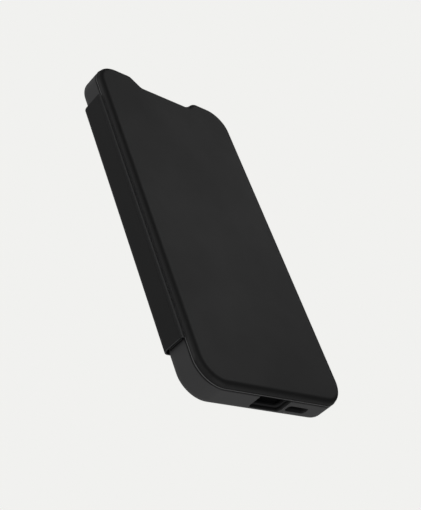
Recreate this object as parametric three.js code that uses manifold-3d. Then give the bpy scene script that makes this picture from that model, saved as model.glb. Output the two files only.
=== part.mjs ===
// Folio phone case with a card pocket: a soft bumper over a hard tray holds the phone, and one skin runs
// over the back, round the spine and on to a stiff front cover that closes over the screen.
// Millimetres. X runs across the case with the spine at -X, Y along it with the top at +Y, and Z from the
// back (0) to the front cover. The origin is the centre of the back, on the face that the case rests on.
import * as THREE from 'three';
import { mergeVertices } from 'three/addons/utils/BufferGeometryUtils.js';
import Module from 'manifold-3d';

const wasm = await Module();
wasm.setup();

// ---- What the case holds
const phoneWidth = 71.2;
const phoneLength = 151.7;
const phoneThickness = 7.9;
const phoneCorner = 8.5;
const cardWidth = 54;
const cardLength = 85.6;

// ---- Clearances
const phoneClearance = 0.15;
const layerGap = 0.05; // between two flat layers that are glued together
const nestGap = 0.1; // between the tray and the bumper moulded round it
const fitGap = 0.3; // round a piece that sits in a cut-out
const lidGap = 0.3; // between the bumper's lip and the closed cover

// ---- Shell: skin, tray, lining and bumper
const skinThickness = 0.6;
const trayFloor = 0.9;
const trayWall = 0.9;
const trayEdgeRound = 2.3;
const backLiningThickness = 0.3;
const bumperWall = 1.5;
const bumperEdgeRound = 3.4;
const bumperTopRound = 0.4;
const bumperSetBack = 0.2; // how far the skin stands proud of the bumper's back
const lipThickness = 0.47;
const lipOverlap = 1.0;
const lipClearance = 0.1;
const backRimWidth = 4.6; // bumper left showing round the back skin
const backSkinCorner = 7;

// ---- Openings
const cameraWidth = 24.5;
const cameraLength = 47;
const cameraCorner = 6;
const cameraFromRight = 17; // from the phone's right edge to the opening's middle
const cameraFromTop = 28.5;
const bezelWall = 1.2;
const bezelRecess = 0.1;
const portWidth = 16.8;
const portBottom = 3.1;
const portCorner = 1.6;
const portStep = 1.0; // how much smaller the tray's opening is than the bumper's
const speakerWidth = 11.4;
const speakerHeight = 3.4;
const speakerFromPort = 15.6;
const speakerCorner = 1.4;
const microphoneRadius = 0.9;
const microphoneOffset = 8;
const scoopMouth = 39; // dip in the top end's wall, under the cover's notch
const scoopFloor = 35.6;
const scoopDepth = 1.3;

// ---- Buttons on the right side
const volumeLength = 21.4;
const volumeFromTop = 43.9;
const powerLength = 12.4;
const powerFromTop = 66.9;
const buttonHeight = 3.4;
const buttonCorner = 1.5;
const buttonProud = 0.75;
const buttonTravel = 0.35;
const buttonRound = 0.45;
const buttonSlotGap = 0.3;
const flangeWidth = 0.9; // how far the hidden flange stands out round the cap
const flangeThickness = 0.4;
const flangeRecess = 0.5; // depth of the pocket for the flange inside the bumper's wall

// ---- Spine
const spineEndMargin = 19.1; // from the case's end to the spine's end
const spineProud = 1.78; // how far the spine stands out from the bumper's side
const spineBackRound = 2.77;
const spineBoardThickness = 0.5;
const spineLiningThickness = 0.3;
const spineBoardInset = 1.2;
const ridgeRound = 0.5;
const foldHeight = 1.0; // how much of the spine's top belongs to the cover's fold

// ---- Front cover
const rimWidth = 0.25;
const rimThickness = 0.3;
const coverEdgeRound = 2.5;
const boardThickness = 0.6;
const cardSpace = 0.95;
const coverLiningThickness = 0.62;
const notchMouth = 40.6;
const notchFloor = 25.8;
const notchDepth = 4.8;
const notchMouthEase = 2.2; // how softly the edge turns down into the notch
const notchFloorEase = 1.2; // and how softly it levels out
const slitWidth = 2;
const slitEndRound = 0.9;
const slitOverrun = 1.2;
const thumbRadius = 9;
const cardClearance = 1;
const cardRoomCorner = 1;

// ---- Closure
const magnetLength = 20;
const magnetWidth = 4;
const magnetCount = 2;
const keeperHeight = 5;
const keeperThickness = 0.4;
const keeperMouth = 0.5; // how far the cutter for a plate's pocket stands out of the wall

// ---- Smoothness
const arcSteps = 5;
const roundSteps = 3;

// ---- Sizes and levels worked out from the above
const sideStack = phoneClearance + trayWall + nestGap + bumperWall;
const caseWidth = phoneWidth + 2 * sideStack;
const caseLength = phoneLength + 2 * sideStack;
const caseCorner = phoneCorner + sideStack;
const spineLength = caseLength - 2 * spineEndMargin;
const trayWidth = caseWidth - 2 * (bumperWall + nestGap);
const trayLength = caseLength - 2 * (bumperWall + nestGap);
const trayCorner = caseCorner - bumperWall - nestGap;
const trayBottom = skinThickness + layerGap;
const trayFloorTop = trayBottom + trayFloor;
const liningTop = trayFloorTop + layerGap + backLiningThickness;
const phoneTop = liningTop + phoneThickness;
const phoneMiddle = liningTop + phoneThickness / 2;
const bumperTop = phoneTop + lipClearance + lipThickness;
const coverBottom = bumperTop + lidGap;
const coverThickness = skinThickness + boardThickness + cardSpace + coverLiningThickness + 3 * layerGap;
const coverTop = coverBottom + coverThickness;
const ledgeTop = coverBottom + rimThickness;
const spineOuter = -caseWidth / 2 - spineProud;
const cameraX = phoneWidth / 2 - cameraFromRight;
const cameraY = phoneLength / 2 - cameraFromTop;

// The magnets share the straight run of the right side below the buttons evenly.
const runTop = phoneLength / 2 - powerFromTop - powerLength / 2 - flangeWidth - buttonSlotGap;
const runBottom = -caseLength / 2 + caseCorner;
const magnetSpots = Array.from(
  { length: magnetCount },
  (_, index) => runTop + ((index + 0.5) / magnetCount) * (runBottom - runTop),
);

const beyond = 5; // cutters run this far past what they cut

// ---------------------------------------------------------------- solids

function solidOf(geometry) {
  const bare = geometry.clone();
  bare.deleteAttribute('normal');
  bare.deleteAttribute('uv');
  const merged = mergeVertices(bare, 1e-4);
  const mesh = new wasm.Mesh({
    numProp: 3,
    vertProperties: new Float32Array(merged.attributes.position.array),
    triVerts: new Uint32Array(merged.index.array),
  });
  return new wasm.Manifold(mesh);
}

function geometryOf(solid) {
  const { vertProperties, triVerts } = solid.getMesh();
  const geometry = new THREE.BufferGeometry();
  geometry.setAttribute('position', new THREE.BufferAttribute(new Float32Array(vertProperties), 3));
  geometry.setIndex(new THREE.BufferAttribute(new Uint32Array(triVerts), 1));
  geometry.computeVertexNormals();
  return geometry;
}

// An outline raised from one height to another, with the same round along both of its rims.
function roundedSlab(shape, from, to, round) {
  const geometry = new THREE.ExtrudeGeometry(shape, {
    depth: to - from - 2 * round,
    bevelEnabled: round > 0,
    bevelThickness: round,
    bevelSize: round,
    bevelOffset: -round,
    bevelSegments: roundSteps,
    curveSegments: arcSteps,
  });
  geometry.translate(0, 0, from + round);
  return solidOf(geometry);
}

// An outline raised from one height to another, with its own round along each rim.
function slab(shape, from, to, { topRound = 0, bottomRound = 0 } = {}) {
  let solid = roundedSlab(shape, from, to, 0);
  if (topRound > 0) {
    solid = solid.intersect(roundedSlab(shape, from - 2 * topRound, to, topRound));
  }
  if (bottomRound > 0) {
    solid = solid.intersect(roundedSlab(shape, from, to + 2 * bottomRound, bottomRound));
  }
  return solid;
}

// A section drawn in X and Z, run along Y.
function alongY(section, from, to) {
  const turn = new THREE.Matrix4().makeRotationX(Math.PI / 2).setPosition(0, to, 0);
  return roundedSlab(section, 0, to - from, 0).transform(turn.elements);
}

// An outline drawn in Y and Z, run along X, with a round along its outer rim.
function alongX(outline, from, to, round = 0) {
  const turn = new THREE.Matrix4().makeBasis(
    new THREE.Vector3(0, 1, 0),
    new THREE.Vector3(0, 0, 1),
    new THREE.Vector3(1, 0, 0),
  );
  return slab(outline, from, to, { topRound: round }).transform(turn.elements);
}

function box(xFrom, xTo, yFrom, yTo, zFrom, zTo) {
  const geometry = new THREE.BoxGeometry(xTo - xFrom, yTo - yFrom, zTo - zFrom);
  geometry.translate((xFrom + xTo) / 2, (yFrom + yTo) / 2, (zFrom + zTo) / 2);
  return solidOf(geometry);
}

// ---------------------------------------------------------------- outlines

function roundedRectangle(width, height, radius, x = 0, y = 0) {
  const shape = new THREE.Shape();
  const right = x + width / 2;
  const left = x - width / 2;
  const top = y + height / 2;
  const bottom = y - height / 2;
  shape.moveTo(right, bottom + radius);
  shape.lineTo(right, top - radius);
  shape.absarc(right - radius, top - radius, radius, 0, Math.PI / 2);
  shape.lineTo(left + radius, top);
  shape.absarc(left + radius, top - radius, radius, Math.PI / 2, Math.PI);
  shape.lineTo(left, bottom + radius);
  shape.absarc(left + radius, bottom + radius, radius, Math.PI, 1.5 * Math.PI);
  shape.lineTo(right - radius, bottom);
  shape.absarc(right - radius, bottom + radius, radius, 1.5 * Math.PI, 2 * Math.PI);
  return shape;
}

function circle(radius, x, y) {
  const shape = new THREE.Shape();
  shape.absarc(x, y, radius, 0, 2 * Math.PI);
  return shape;
}

// The case's outline with the finger notch in its top edge, drawn in by an even margin.
function coverOutline(margin) {
  const halfWidth = caseWidth / 2 - margin;
  const halfLength = caseLength / 2 - margin;
  const radius = caseCorner - margin;
  const mouth = notchMouth / 2 + margin / 2;
  const floor = notchFloor / 2 + margin / 2;
  const notchLine = halfLength - notchDepth;
  const turnDown = mouth - notchMouthEase;
  const levelOut = floor + notchFloorEase;
  const shape = new THREE.Shape();
  shape.moveTo(halfWidth, -halfLength + radius);
  shape.lineTo(halfWidth, halfLength - radius);
  shape.absarc(halfWidth - radius, halfLength - radius, radius, 0, Math.PI / 2);
  shape.lineTo(mouth, halfLength);
  shape.bezierCurveTo(turnDown, halfLength, levelOut, notchLine, floor, notchLine);
  shape.lineTo(-floor, notchLine);
  shape.bezierCurveTo(-levelOut, notchLine, -turnDown, halfLength, -mouth, halfLength);
  shape.lineTo(-halfWidth + radius, halfLength);
  shape.absarc(-halfWidth + radius, halfLength - radius, radius, Math.PI / 2, Math.PI);
  shape.lineTo(-halfWidth, -halfLength + radius);
  shape.absarc(-halfWidth + radius, -halfLength + radius, radius, Math.PI, 1.5 * Math.PI);
  shape.lineTo(halfWidth - radius, -halfLength);
  shape.absarc(halfWidth - radius, -halfLength + radius, radius, 1.5 * Math.PI, 2 * Math.PI);
  return shape;
}

// ---------------------------------------------------------------- materials and meshes

const finishes = {
  skin: { color: 0x242424, roughness: 0.62, metalness: 0 },
  bumper: { color: 0x353536, roughness: 0.5, metalness: 0 },
  tray: { color: 0x1c1c1d, roughness: 0.45, metalness: 0 },
  lining: { color: 0x2c2c2e, roughness: 0.95, metalness: 0 },
  board: { color: 0x4a4640, roughness: 0.85, metalness: 0 },
  foam: { color: 0x3a3a3c, roughness: 0.9, metalness: 0 },
  button: { color: 0x303031, roughness: 0.4, metalness: 0 },
  bezel: { color: 0x202021, roughness: 0.3, metalness: 0 },
  magnet: { color: 0xb4b4b8, roughness: 0.3, metalness: 1 },
  steel: { color: 0x9a9a9e, roughness: 0.4, metalness: 1 },
};

function piece(name, solid, finish) {
  const mesh = new THREE.Mesh(geometryOf(solid), new THREE.MeshStandardMaterial(finishes[finish]));
  mesh.name = name;
  return mesh;
}

// ---------------------------------------------------------------- cutters shared by tray and bumper

const bottomFace = -caseLength / 2;

// The charging opening is a slot with round lower corners, open at the lip.
function portCutter(step) {
  const width = portWidth - 2 * step;
  const bottom = portBottom + step;
  const height = coverTop - bottom;
  const outline = roundedRectangle(width, height, portCorner, 0, bottom + height / 2);
  return alongY(outline, bottomFace - beyond, bottomFace + sideStack + lipOverlap + fitGap);
}

function speakerCutter() {
  const outline = roundedRectangle(speakerWidth, speakerHeight, speakerCorner, speakerFromPort, phoneMiddle);
  return alongY(outline, bottomFace - beyond, bottomFace + beyond);
}

function microphoneCutter() {
  const outline = circle(microphoneRadius, microphoneOffset, phoneMiddle);
  return alongY(outline, -bottomFace - beyond, -bottomFace + beyond);
}

function scoopCutter() {
  const floor = bumperTop - scoopDepth;
  const section = new THREE.Shape();
  section.moveTo(-scoopFloor / 2, floor);
  section.lineTo(scoopFloor / 2, floor);
  section.lineTo(scoopMouth / 2, bumperTop);
  section.lineTo(scoopMouth / 2, coverTop);
  section.lineTo(-scoopMouth / 2, coverTop);
  section.lineTo(-scoopMouth / 2, bumperTop);
  return alongY(section, -bottomFace - sideStack - lipOverlap - fitGap, -bottomFace + beyond);
}

const buttons = [
  { name: 'volume_button', length: volumeLength, y: phoneLength / 2 - volumeFromTop },
  { name: 'power_button', length: powerLength, y: phoneLength / 2 - powerFromTop },
];

function buttonOutline(length, margin) {
  const height = buttonHeight + 2 * margin;
  return roundedRectangle(length + 2 * margin, height, buttonCorner + margin, 0, phoneMiddle);
}

// ---------------------------------------------------------------- shell

const cameraOpening = (margin) => roundedRectangle(
  cameraWidth + 2 * margin, cameraLength + 2 * margin, cameraCorner + margin, cameraX, cameraY,
);

// The tray is a hard open box: a floor with a camera opening and a thin wall right round.
function innerTray() {
  const outside = slab(
    roundedRectangle(trayWidth, trayLength, trayCorner),
    trayBottom, phoneTop, { bottomRound: trayEdgeRound },
  );
  const inside = slab(
    roundedRectangle(trayWidth - 2 * trayWall, trayLength - 2 * trayWall, trayCorner - trayWall),
    trayFloorTop, phoneTop + beyond, { bottomRound: trayEdgeRound - trayWall },
  );
  let tray = outside.subtract(inside);
  tray = tray.subtract(slab(cameraOpening(bezelWall + layerGap), -beyond, phoneMiddle));
  tray = tray.subtract(portCutter(portStep)).subtract(speakerCutter()).subtract(microphoneCutter());
  tray = tray.subtract(scoopCutter());
  for (const { length, y } of buttons) {
    const outline = buttonOutline(length, flangeWidth + buttonSlotGap);
    tray = tray.subtract(alongX(outline, phoneWidth / 2 - beyond, caseWidth).translate(0, y, 0));
  }
  return tray;
}

// The bumper wraps the tray: a wall, a thin lip over the screen's edge and a flange under the back.
function bumper() {
  const outside = slab(
    roundedRectangle(caseWidth, caseLength, caseCorner),
    bumperSetBack, bumperTop, { bottomRound: bumperEdgeRound, topRound: bumperTopRound },
  );
  const traySpace = slab(
    roundedRectangle(trayWidth + 2 * nestGap, trayLength + 2 * nestGap, trayCorner + nestGap),
    trayBottom - layerGap, phoneTop + lipClearance, { bottomRound: trayEdgeRound },
  );
  const lipInset = sideStack + lipOverlap;
  const screenOpening = slab(
    roundedRectangle(caseWidth - 2 * lipInset, caseLength - 2 * lipInset, caseCorner - lipInset),
    phoneMiddle, bumperTop + beyond,
  );
  const backOpening = slab(
    roundedRectangle(caseWidth - 2 * backRimWidth, caseLength - 2 * backRimWidth, backSkinCorner),
    -beyond, phoneMiddle,
  );
  let ring = outside.subtract(traySpace).subtract(screenOpening).subtract(backOpening);
  ring = ring.subtract(portCutter(0)).subtract(speakerCutter()).subtract(microphoneCutter());
  ring = ring.subtract(scoopCutter());
  // the skin passes under the bumper's left edge on its way to the spine
  const half = spineLength / 2 + fitGap;
  const recessEnd = -caseWidth / 2 + backRimWidth + fitGap;
  ring = ring.subtract(box(-caseWidth, recessEnd, -half, half, -beyond, trayBottom));
  for (const { length, y } of buttons) {
    const slot = alongX(buttonOutline(length, buttonSlotGap), caseWidth / 2 - beyond, caseWidth);
    const pocket = alongX(
      buttonOutline(length, flangeWidth + buttonSlotGap),
      caseWidth / 2 - beyond, caseWidth / 2 - bumperWall + flangeRecess,
    );
    ring = ring.subtract(slot.translate(0, y, 0)).subtract(pocket.translate(0, y, 0));
  }
  for (const y of magnetSpots) {
    ring = ring.subtract(keeper(y, layerGap));
  }
  return ring;
}

// A steel plate let into the inner face of the bumper's right wall, for the cover's magnets to hold on to.
function keeper(y, margin) {
  const inner = caseWidth / 2 - bumperWall;
  const mouth = margin > 0 ? keeperMouth : 0;
  const half = magnetLength / 2 + margin;
  const top = phoneTop - fitGap + margin;
  const bottom = top - keeperHeight - 2 * margin;
  return box(inner - mouth, inner + keeperThickness + margin, y - half, y + half, bottom, top);
}

function backSkin() {
  const width = caseWidth - 2 * backRimWidth - 2 * fitGap;
  const length = caseLength - 2 * backRimWidth - 2 * fitGap;
  const panel = slab(roundedRectangle(width, length, backSkinCorner - fitGap), 0, skinThickness);
  const tongueFrom = spineOuter + spineBackRound + layerGap;
  const tongue = box(tongueFrom, 0, -spineLength / 2, spineLength / 2, 0, skinThickness);
  const opening = slab(cameraOpening(bezelWall + layerGap), -beyond, phoneMiddle);
  return panel.add(tongue).subtract(opening);
}

function backLining() {
  const inset = sideStack - phoneClearance + trayEdgeRound - trayWall;
  const outline = roundedRectangle(caseWidth - 2 * inset, caseLength - 2 * inset, caseCorner - inset);
  const opening = slab(cameraOpening(bezelWall + layerGap), -beyond, phoneMiddle);
  return slab(outline, trayFloorTop + layerGap, liningTop).subtract(opening);
}

function cameraBezel() {
  const outside = slab(cameraOpening(bezelWall), bezelRecess, liningTop);
  return outside.subtract(slab(cameraOpening(0), -beyond, phoneMiddle));
}

// A button is a round-ended cap with a flange behind it that keeps it in the bumper's wall.
function button({ length }) {
  const wallInside = caseWidth / 2 - bumperWall + flangeRecess;
  const flangeOuter = wallInside - nestGap;
  const inner = phoneWidth / 2 + buttonTravel + layerGap;
  const cap = alongX(buttonOutline(length, 0), inner, caseWidth / 2 + buttonProud, buttonRound);
  const flange = alongX(buttonOutline(length, flangeWidth), flangeOuter - flangeThickness, flangeOuter);
  return cap.add(flange);
}

// ---------------------------------------------------------------- spine

const spineFrom = spineBackRound + layerGap;
const spineTo = ledgeTop - foldHeight;

// The spine's layers are flat strips that stand one behind another against the bumper's side.
function spineStrip(depth, thickness, inset) {
  return box(
    spineOuter + depth, spineOuter + depth + thickness,
    -spineLength / 2 + inset, spineLength / 2 - inset, spineFrom + inset / 2, spineTo - inset / 2,
  );
}

// The skin's quarter turn from the back to the spine.
function backFold() {
  const centre = spineOuter + spineBackRound;
  const section = new THREE.Shape();
  section.absarc(centre, spineBackRound, spineBackRound, Math.PI, 1.5 * Math.PI);
  section.absarc(centre, spineBackRound, spineBackRound - skinThickness, 1.5 * Math.PI, Math.PI, true);
  return alongY(section, -spineLength / 2, spineLength / 2);
}

// The skin's turn from the spine to the cover: up over a ridge, then in along a narrow ledge.
function coverFold() {
  const inner = spineOuter + skinThickness;
  const ledgeEnd = -caseWidth / 2 - layerGap;
  const ledgeUnder = ledgeTop - skinThickness;
  const section = new THREE.Shape();
  section.moveTo(spineOuter, spineTo + layerGap);
  section.lineTo(inner, spineTo + layerGap);
  section.lineTo(inner, ledgeUnder);
  section.lineTo(ledgeEnd, ledgeUnder);
  section.lineTo(ledgeEnd, ledgeTop);
  section.lineTo(spineOuter + ridgeRound, ledgeTop);
  section.absarc(spineOuter + ridgeRound, ledgeTop - ridgeRound, ridgeRound, Math.PI / 2, Math.PI);
  return alongY(section, -spineLength / 2, spineLength / 2);
}

// ---------------------------------------------------------------- front cover

const dishInset = rimWidth + skinThickness;
const dishRound = coverEdgeRound - skinThickness;
const boardTop = coverTop - skinThickness - layerGap;
const spacerTop = boardTop - boardThickness - layerGap;
const coverLiningTop = coverBottom + coverLiningThickness;

// How far in from the case's outline a layer has to stay, at a height inside the cover's rounded skin.
function insideCover(height) {
  const above = Math.max(0, height - (coverTop - skinThickness - dishRound));
  return dishInset + dishRound - Math.sqrt(dishRound ** 2 - above ** 2) + fitGap;
}

// A shallow moulded dish with a round edge and a thin flat rim.
function coverSkin() {
  const raised = slab(coverOutline(rimWidth), coverBottom, coverTop, { topRound: coverEdgeRound });
  const rim = slab(coverOutline(0), coverBottom, ledgeTop);
  const hollow = slab(
    coverOutline(dishInset), coverBottom - beyond, coverTop - skinThickness, { topRound: dishRound },
  );
  return raised.add(rim).subtract(hollow);
}

function coverBoard() {
  return slab(coverOutline(insideCover(boardTop)), boardTop - boardThickness, boardTop);
}

const magnetX = caseWidth / 2 - insideCover(spacerTop) - magnetWidth / 2 - fitGap;

function magnetAt(y, margin) {
  const half = magnetWidth / 2 + margin;
  const reach = magnetLength / 2 + margin;
  const deep = margin > 0 ? beyond : 0;
  const bottom = spacerTop - cardSpace - deep;
  return box(magnetX - half, magnetX + half, y - reach, y + reach, bottom, spacerTop + deep);
}

// Room for a card, standing upright in the cover and a little towards the spine.
const slotWidth = cardWidth + cardClearance;
const slotLength = cardLength + 2 * cardClearance;
const slotX = magnetX - magnetWidth / 2 - 2 * fitGap - slotWidth / 2 - rimWidth;
const slotY = -caseLength / 2 + slotLength / 2 + 2 * caseCorner;

// The foam spacer frames the card's room and holds the two magnets.
function cardSpacer() {
  const frame = slab(coverOutline(insideCover(spacerTop)), spacerTop - cardSpace, spacerTop);
  const roomOutline = roundedRectangle(slotWidth, slotLength, cardRoomCorner, slotX, slotY);
  let spacer = frame.subtract(slab(roomOutline, 0, coverTop + beyond));
  for (const y of magnetSpots) {
    spacer = spacer.subtract(magnetAt(y, layerGap));
  }
  return spacer;
}

// The inner lining has the card's slit, close to the spine, with a thumb notch at its middle.
function coverLining() {
  const slitX = slotX - slotWidth / 2 + slitWidth / 2 + slitOverrun;
  const slitOutline = roundedRectangle(slitWidth, slotLength - 2 * slitOverrun, slitEndRound, slitX, slotY);
  const slit = slab(slitOutline, 0, coverTop);
  const half = slab(circle(thumbRadius, slitX, slotY), 0, coverTop);
  const thumb = half.intersect(box(slitX, caseWidth, -caseLength, caseLength, 0, coverTop));
  const sheet = slab(coverOutline(insideCover(coverLiningTop)), coverBottom, coverLiningTop);
  return sheet.subtract(slit).subtract(thumb);
}

// ---------------------------------------------------------------- assembly

const shell = new THREE.Group();
shell.add(
  piece('inner_tray', innerTray(), 'tray'),
  piece('bumper', bumper(), 'bumper'),
  piece('back_skin', backSkin(), 'skin'),
  piece('back_lining', backLining(), 'lining'),
  piece('camera_bezel', cameraBezel(), 'bezel'),
);
magnetSpots.forEach((y, index) => {
  shell.add(piece(`keeper_plate_${index + 1}`, keeper(y, 0), 'steel'));
});
for (const entry of buttons) {
  const cap = piece(entry.name, button(entry), 'button');
  cap.position.y = entry.y;
  shell.add(cap);
}

const spine = new THREE.Group();
const spineBoardDepth = skinThickness + layerGap;
const spineLiningDepth = spineBoardDepth + spineBoardThickness + layerGap;
spine.add(
  piece('back_fold', backFold(), 'skin'),
  piece('spine_skin', spineStrip(0, skinThickness, 0), 'skin'),
  piece('spine_board', spineStrip(spineBoardDepth, spineBoardThickness, spineBoardInset), 'board'),
  piece('spine_lining', spineStrip(spineLiningDepth, spineLiningThickness, 0), 'lining'),
  piece('cover_fold', coverFold(), 'skin'),
);

const cover = new THREE.Group();
cover.add(
  piece('cover_skin', coverSkin(), 'skin'),
  piece('cover_board', coverBoard(), 'board'),
  piece('card_spacer', cardSpacer(), 'foam'),
  piece('cover_lining', coverLining(), 'lining'),
);
magnetSpots.forEach((y, index) => {
  cover.add(piece(`closure_magnet_${index + 1}`, magnetAt(y, 0), 'magnet'));
});

const folio = new THREE.Group();
folio.add(shell, spine, cover);

export default folio;
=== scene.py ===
"""A slim folio phone case: a soft bumper round a hard tray, under one matte skin on back, spine and cover."""
import math

import bmesh
import bpy
from mathutils import Matrix, Vector


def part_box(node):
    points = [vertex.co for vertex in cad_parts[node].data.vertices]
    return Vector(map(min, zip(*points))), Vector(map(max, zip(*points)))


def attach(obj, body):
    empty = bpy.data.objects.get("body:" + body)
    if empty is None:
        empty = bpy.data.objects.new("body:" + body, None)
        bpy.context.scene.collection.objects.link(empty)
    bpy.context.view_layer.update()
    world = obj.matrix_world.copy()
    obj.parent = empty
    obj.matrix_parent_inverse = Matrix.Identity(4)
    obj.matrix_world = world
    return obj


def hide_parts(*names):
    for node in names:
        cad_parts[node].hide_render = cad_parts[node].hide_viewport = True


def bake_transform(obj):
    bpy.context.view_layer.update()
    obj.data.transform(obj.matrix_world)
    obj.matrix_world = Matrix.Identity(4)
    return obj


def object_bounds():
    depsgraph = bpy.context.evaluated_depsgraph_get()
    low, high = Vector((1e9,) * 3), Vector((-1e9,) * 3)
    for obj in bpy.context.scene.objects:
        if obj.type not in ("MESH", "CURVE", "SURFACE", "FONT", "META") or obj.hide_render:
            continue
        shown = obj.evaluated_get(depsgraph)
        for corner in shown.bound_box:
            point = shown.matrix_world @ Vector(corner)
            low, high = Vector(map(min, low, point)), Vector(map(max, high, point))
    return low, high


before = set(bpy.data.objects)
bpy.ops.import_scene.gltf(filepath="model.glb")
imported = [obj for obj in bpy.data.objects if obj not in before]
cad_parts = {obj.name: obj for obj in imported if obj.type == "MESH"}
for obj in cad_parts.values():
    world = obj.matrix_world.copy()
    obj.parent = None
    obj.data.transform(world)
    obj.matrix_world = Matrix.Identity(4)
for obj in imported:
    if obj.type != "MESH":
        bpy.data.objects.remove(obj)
cad_low, cad_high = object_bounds()

# ---------------------------------------------------------------------------- camera
# A long lens under half a metre away, off the spine's lower end and rolled, so that the case stands on its
# lower corner in the frame.
mm = 0.001
camera_target = Vector((7.96, -2.94, 0)) * mm
camera_distance = 409.45 * mm
camera_azimuth = math.radians(-51.09)
camera_elevation = math.radians(29.18)
camera_roll = math.radians(47.61)

bpy.ops.object.camera_add()
camera = bpy.context.object
camera.name = "camera"
camera.data.lens = 70.89
camera.data.sensor_width = 36
camera.data.clip_start = 0.02
camera.data.clip_end = 20
towards_camera = Vector((
    math.sin(camera_azimuth) * math.cos(camera_elevation),
    -math.cos(camera_azimuth) * math.cos(camera_elevation),
    math.sin(camera_elevation),
))
camera.rotation_mode = "QUATERNION"
level = (-towards_camera).to_track_quat("-Z", "Y")
camera.rotation_quaternion = level @ Matrix.Rotation(camera_roll, 3, "Z").to_quaternion()
camera.location = camera_target + towards_camera * camera_distance
bpy.context.scene.camera = camera

# ---------------------------------------------------------------------------- floor and light
# A seamless pale studio: the floor and the room behind it are one even off-white. The floor lies low enough
# for the cover to fold right round behind the case. The main lamp is high up behind the right side, and
# weaker ones stand low on the left, in front and behind.
studio_white = (0.880, 0.880, 0.863, 1)
room_dim = (0.01, 0.01, 0.01, 1)
floor_dim = (0.26, 0.26, 0.26, 1)
floor_size = 6
floor_drop = 45 * mm
soft_box = 0.7


def even_surface(tree, output, closure, seen, unseen):
    """One colour for the camera and another for the light that the room throws on the case."""
    path = tree.nodes.new("ShaderNodeLightPath")
    shown = tree.nodes.new(closure)
    lit = tree.nodes.new(closure)
    mix = tree.nodes.new("ShaderNodeMixShader")
    shown.inputs["Color"].default_value = seen
    lit.inputs["Color"].default_value = unseen
    tree.links.new(path.outputs["Is Camera Ray"], mix.inputs["Fac"])
    tree.links.new(lit.outputs[0], mix.inputs[1])
    tree.links.new(shown.outputs[0], mix.inputs[2])
    tree.links.new(mix.outputs[0], output)


world = bpy.data.worlds.new("studio")
world.use_nodes = True
world.node_tree.nodes.clear()
world_output = world.node_tree.nodes.new("ShaderNodeOutputWorld")
even_surface(world.node_tree, world_output.inputs["Surface"], "ShaderNodeBackground", studio_white, room_dim)
bpy.context.scene.world = world
bpy.context.scene.view_settings.view_transform = "Standard"

bpy.ops.object.select_all(action="DESELECT")
bpy.ops.mesh.primitive_plane_add(size=floor_size, location=(0, 0, -floor_drop))
floor = bpy.context.object
floor.name = "floor"
floor_paint = bpy.data.materials.new("floor_paint")
floor_paint.use_nodes = True
floor_paint.node_tree.nodes.clear()
floor_output = floor_paint.node_tree.nodes.new("ShaderNodeOutputMaterial")
even_surface(
    floor_paint.node_tree, floor_output.inputs["Surface"], "ShaderNodeEmission", studio_white, floor_dim
)
floor.data.materials.append(floor_paint)


def lamp(name, place, power):
    """A square soft box, turned to face the case."""
    bpy.ops.object.light_add(type="AREA", location=place)
    light = bpy.context.object
    light.name = name
    light.data.shape = "SQUARE"
    light.data.size = soft_box
    light.data.energy = power
    light.rotation_mode = "QUATERNION"
    light.rotation_quaternion = (Vector((0, 0, 0)) - Vector(place)).to_track_quat("-Z", "Y")


lamp("key_lamp", (0.714, 0.579, 0.919), 2.65)
lamp("left_lamp", (-1.222, 0, 0.445), 1.8)
lamp("front_lamp", (0.12, -1.25, 0.336), 2.5)
lamp("fill_lamp", (-0.875, -0.709, 0.65), 1.1)
lamp("back_lamp", (-0.905, 0.905, 0.226), 1.4)

# ---------------------------------------------------------------------------- inner tray
# The hard shell that the phone clips into: a thin polycarbonate box with a rounded floor edge, moulded
# with a fine spark-eroded texture. It is open for the camera, the plug, the speaker and the keys.
tray_low, tray_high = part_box("inner_tray")
bezel_low, bezel_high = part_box("camera_bezel")
tray_corner = 9.55 * mm
tray_wall = 0.9 * mm
tray_edge_round = 2.3 * mm
tray_rim_round = 0.15 * mm
corner_steps = 20
beyond = 5 * mm
fit_gap = 0.05 * mm
camera_corner = 6 * mm
bezel_wall = 1.2 * mm
phone_middle = 5.85 * mm
port_half = 8.4 * mm
port_bottom = 3.1 * mm
port_corner = 1.6 * mm
port_step = 1.0 * mm
speaker_middle = 15.6 * mm
speaker_half = 5.7 * mm
speaker_rise = 1.7 * mm
speaker_corner = 1.4 * mm
microphone_offset = 8 * mm
microphone_radius = 0.9 * mm
scoop_floor_half = 17.8 * mm
scoop_mouth_half = 19.5 * mm
scoop_floor = 9.07 * mm
scoop_corner = 1.0 * mm
button_flange = 0.9 * mm
cap_corner = 1.5 * mm
flange_slot = 1.2 * mm
slot_inside = 30 * mm
slot_outside = 45 * mm
crevice_shade_contrast = 3.5


def finish(name, colour, roughness, specular=0.5, metallic=0.0):
    """A finish to build on: its material, its node tree and its Principled shader."""
    made = bpy.data.materials.new(name)
    made.use_nodes = True
    shader = made.node_tree.nodes["Principled BSDF"]
    shader.inputs["Base Color"].default_value = (*colour, 1)
    shader.inputs["Roughness"].default_value = roughness
    shader.inputs["Specular IOR Level"].default_value = specular
    shader.inputs["Metallic"].default_value = metallic
    return made, made.node_tree, shader


def node_group(name, inputs, outputs):
    """An empty shader group with named number inputs and outputs, returned with its input and output nodes.
    """
    tree = bpy.data.node_groups.new(name, "ShaderNodeTree")
    for label, value in inputs:
        socket = tree.interface.new_socket(label, in_out="INPUT", socket_type="NodeSocketFloat")
        socket.default_value = value
    for label in outputs:
        tree.interface.new_socket(label, in_out="OUTPUT", socket_type="NodeSocketFloat")
    return tree, tree.nodes.new("NodeGroupInput"), tree.nodes.new("NodeGroupOutput")


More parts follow.
